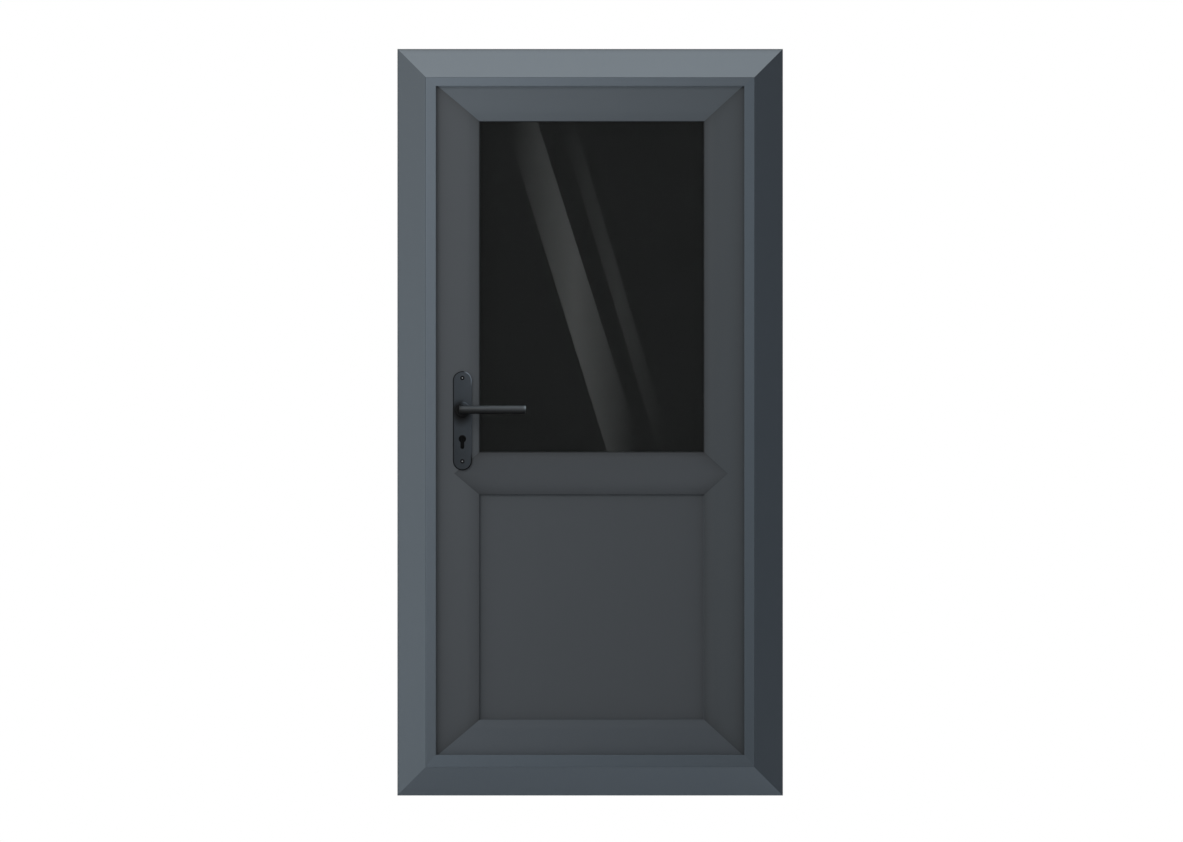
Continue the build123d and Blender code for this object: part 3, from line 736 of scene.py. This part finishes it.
fixing_cap = turned([
    (0.0, 0.0014), (0.0040, 0.0013), (0.0062, 0.0009), (0.0070, 0.0003), (0.0071, 0.0), (0.0, 0.0),
])
fit("fixing_caps", fixing_cap, [
    facing((-side, 0, 0), (-side * STRIKE_LOW.x, FIXING_Y, height))
    for side in (-1, 1) for height in FIXING_HEIGHTS
], "frame", [CAP_PLASTIC], limit=50)

# A thin black ring on each collar, as painted shade where the neck's shadow falls
fit("collar_shade_rings", washer(0.0135, 0.0102, 0.0006), [
    facing((0, -1, 0), (SPINDLE_X, COLLAR_FRONT_Y, SPINDLE_Z)),
    facing((0, 1, 0), (SPINDLE_X, COLLAR_BACK_Y, SPINDLE_Z)),
], "leaf", [SHADE_BLACK])

# Under the lever's neck, out from the collar
SET_SCREW_OUT = 0.009
SET_SCREW_Z = SPINDLE_Z - 0.0099
fit("lever_set_screws", screw_head(0.0022, rise=0.0002, socket=0.0012), [
    facing((0, 0, -1), (SPINDLE_X, COLLAR_FRONT_Y - SET_SCREW_OUT, SET_SCREW_Z)),
    facing((0, 0, -1), (SPINDLE_X, COLLAR_BACK_Y + SET_SCREW_OUT, SET_SCREW_Z)),
], "lever", [SCREW_STEEL])


# Studio: camera, floor, lamps and cards

# The width and the middle of the view, and the height at which the streaks' places are given
VIEW_WIDTH = 3.407
VIEW_DISTANCE = 6.0
VIEW_X = 0.0039
VIEW_Z = 1.0786
DOOR_MIDDLE = (0, 0, 1.1)
HEAD_MIDDLE = (0, 0, 2.0)
STREAK_Z = 1.931


def link(item):
    bpy.context.scene.collection.objects.link(item)
    return item


def photo_camera():
    """Looks straight at the outside of the door, without perspective."""
    lens = bpy.data.cameras.new("camera")
    lens.type = "ORTHO"
    lens.ortho_scale = VIEW_WIDTH
    lens.clip_end = 60.0
    camera = link(bpy.data.objects.new("camera", lens))
    camera.location = (VIEW_X, -VIEW_DISTANCE, VIEW_Z)
    camera.rotation_euler = (math.radians(90), 0.0, 0.0)
    bpy.context.scene.camera = camera


def card(name, size, turn, place, material):
    """A flat floor or card, a quarter turned about one axis, which is not part of the door."""
    mesh = bmesh.new()
    bmesh.ops.create_grid(mesh, x_segments=1, y_segments=1, size=0.5)
    bmesh.ops.scale(mesh, vec=(*size, 1.0), verts=mesh.verts)
    bmesh.ops.rotate(mesh, matrix=Matrix.Rotation(math.radians(90), 3, turn), verts=mesh.verts)
    bmesh.ops.translate(mesh, vec=place, verts=mesh.verts)
    data = bpy.data.meshes.new(name)
    mesh.to_mesh(data)
    mesh.free()
    data.materials.append(material)
    made = link(bpy.data.objects.new(name, data))
    return made


def only_in_reflections(made):
    """A card that the glass and the metal mirror, and that is otherwise not there."""
    made.visible_camera = False
    made.visible_diffuse = False
    made.visible_shadow = False


def floor_paint():
    finish = Finish("floor_paint")
    cloud = finish.noise(0.6)
    return finish.surface({
        "Base Color": finish.tint((0.84, 0.84, 0.84), 0.98 + 0.02 * cloud),
        "Roughness": 0.9,
        "Specular IOR Level": 0.1,
    })


def streak(finish, left, right, rise):
    """A slanting band from 0 to 1, from a left to a right line, brightest in the middle of its rise and fall.

    Each line is its x at the height STREAK_Z and its lean, and the rise is the x of its start, peak and end.
    """
    start, peak, end = rise
    above = finish.z - STREAK_Z
    past_left = finish.x + left[1] * above - left[0]
    past_right = finish.x + right[1] * above - right[0]
    band = past_left.ramp(-0.001, 0.001) * (1.0 - past_right.ramp(-0.001, 0.001))
    return band * finish.x.ramp(start, peak, "LINEAR").lower(1.0 - finish.x.ramp(peak, end, "LINEAR"))


def card_paint():
    """A dark card with two slanting bands of light on it, for the glass to mirror."""
    finish = Finish("card_paint")
    wide = streak(finish, left=(-0.2424, 0.3097), right=(-0.1489, 0.3189), rise=(-0.229, -0.043, 0.130))
    narrow = streak(finish, left=(-0.0856, 0.3005), right=(-0.0431, 0.2998), rise=(-0.080, 0.080, 0.218))
    light = finish.tint((0.985, 1.0, 1.0), 0.092 + 0.46 * wide + 0.155 * narrow)
    return finish.done(finish.node("ShaderNodeEmission", None, {"Color": light}))


def flag_cloth():
    finish = Finish("flag_cloth")
    weave = finish.noise(400)
    return finish.surface({"Base Color": finish.tint((0.01, 0.01, 0.01), 0.9 + 0.2 * weave),
                           "Roughness": 0.9, "Specular IOR Level": 0.0})


def lamp(name, place, target, size, power, mirrored=True):
    """A rectangular softbox that faces its target, and shows in the glass and the metal if mirrored."""
    light = bpy.data.lights.new(name, "AREA")
    light.shape = "RECTANGLE"
    light.size, light.size_y = size
    light.energy = power
    holder = link(bpy.data.objects.new(name, light))
    holder.location = place
    holder.rotation_euler = (Vector(target) - Vector(place)).to_track_quat("-Z", "Y").to_euler()
    holder.visible_camera = False
    holder.visible_glossy = mirrored
    holder.visible_transmission = mirrored


def surroundings(ambient):
    """White where the camera, a reflection or the glass looks past the door, soft grey light elsewhere."""
    world = bpy.data.worlds.new("surroundings")
    bpy.context.scene.world = world
    world.use_nodes = True
    sky = Shader(world.node_tree)
    seen = sky.node("ShaderNodeLightPath", output="Is Camera Ray")
    seen = seen.higher(seen.other("Is Glossy Ray")).higher(seen.other("Is Transmission Ray"))
    white = sky.node("ShaderNodeBackground", None, {"Color": (1.0, 1.0, 1.0)})
    soft = sky.node("ShaderNodeBackground", None, {"Color": ambient})
    both = sky.node("ShaderNodeMixShader", None, {"Fac": seen, 1: soft, 2: white})
    sky.node("ShaderNodeOutputWorld", None, {"Surface": both})


photo_camera()
surroundings(ambient=(0.14, 0.147, 0.154))
card("floor", (24, 24), "Z", (0, 0, -0.001), floor_paint())
only_in_reflections(card("dark_card", (2.6, 2.8), "X", (0, -7.5, 1.2), card_paint()))
only_in_reflections(card("side_flag", (3.2, 5.1), "Y", (2.4, -3.45, 1.4), flag_cloth()))
lamp("front_fill", (-0.3, -5.2, 1.7), DOOR_MIDDLE, size=(3.2, 3.2), power=60, mirrored=False)
lamp("key_softbox", (-1.9, -3.0, 3.2), DOOR_MIDDLE, size=(1.8, 1.8), power=44)
lamp("head_softbox", (0.0, -3.2, 3.9), HEAD_MIDDLE, size=(2.8, 1.2), power=13)
lamp("side_softbox", (-2.6, -2.4, 1.1), (-0.5, 0, 1.1), size=(1.0, 2.4), power=9)
lamp("room_softbox", (1.4, 3.8, 2.6), DOOR_MIDDLE, size=(2.4, 2.4), power=70)
lamp("room_fill", (-1.6, 4.0, 1.4), DOOR_MIDDLE, size=(2.0, 2.4), power=25)

bpy.context.scene.view_settings.view_transform = "Standard"
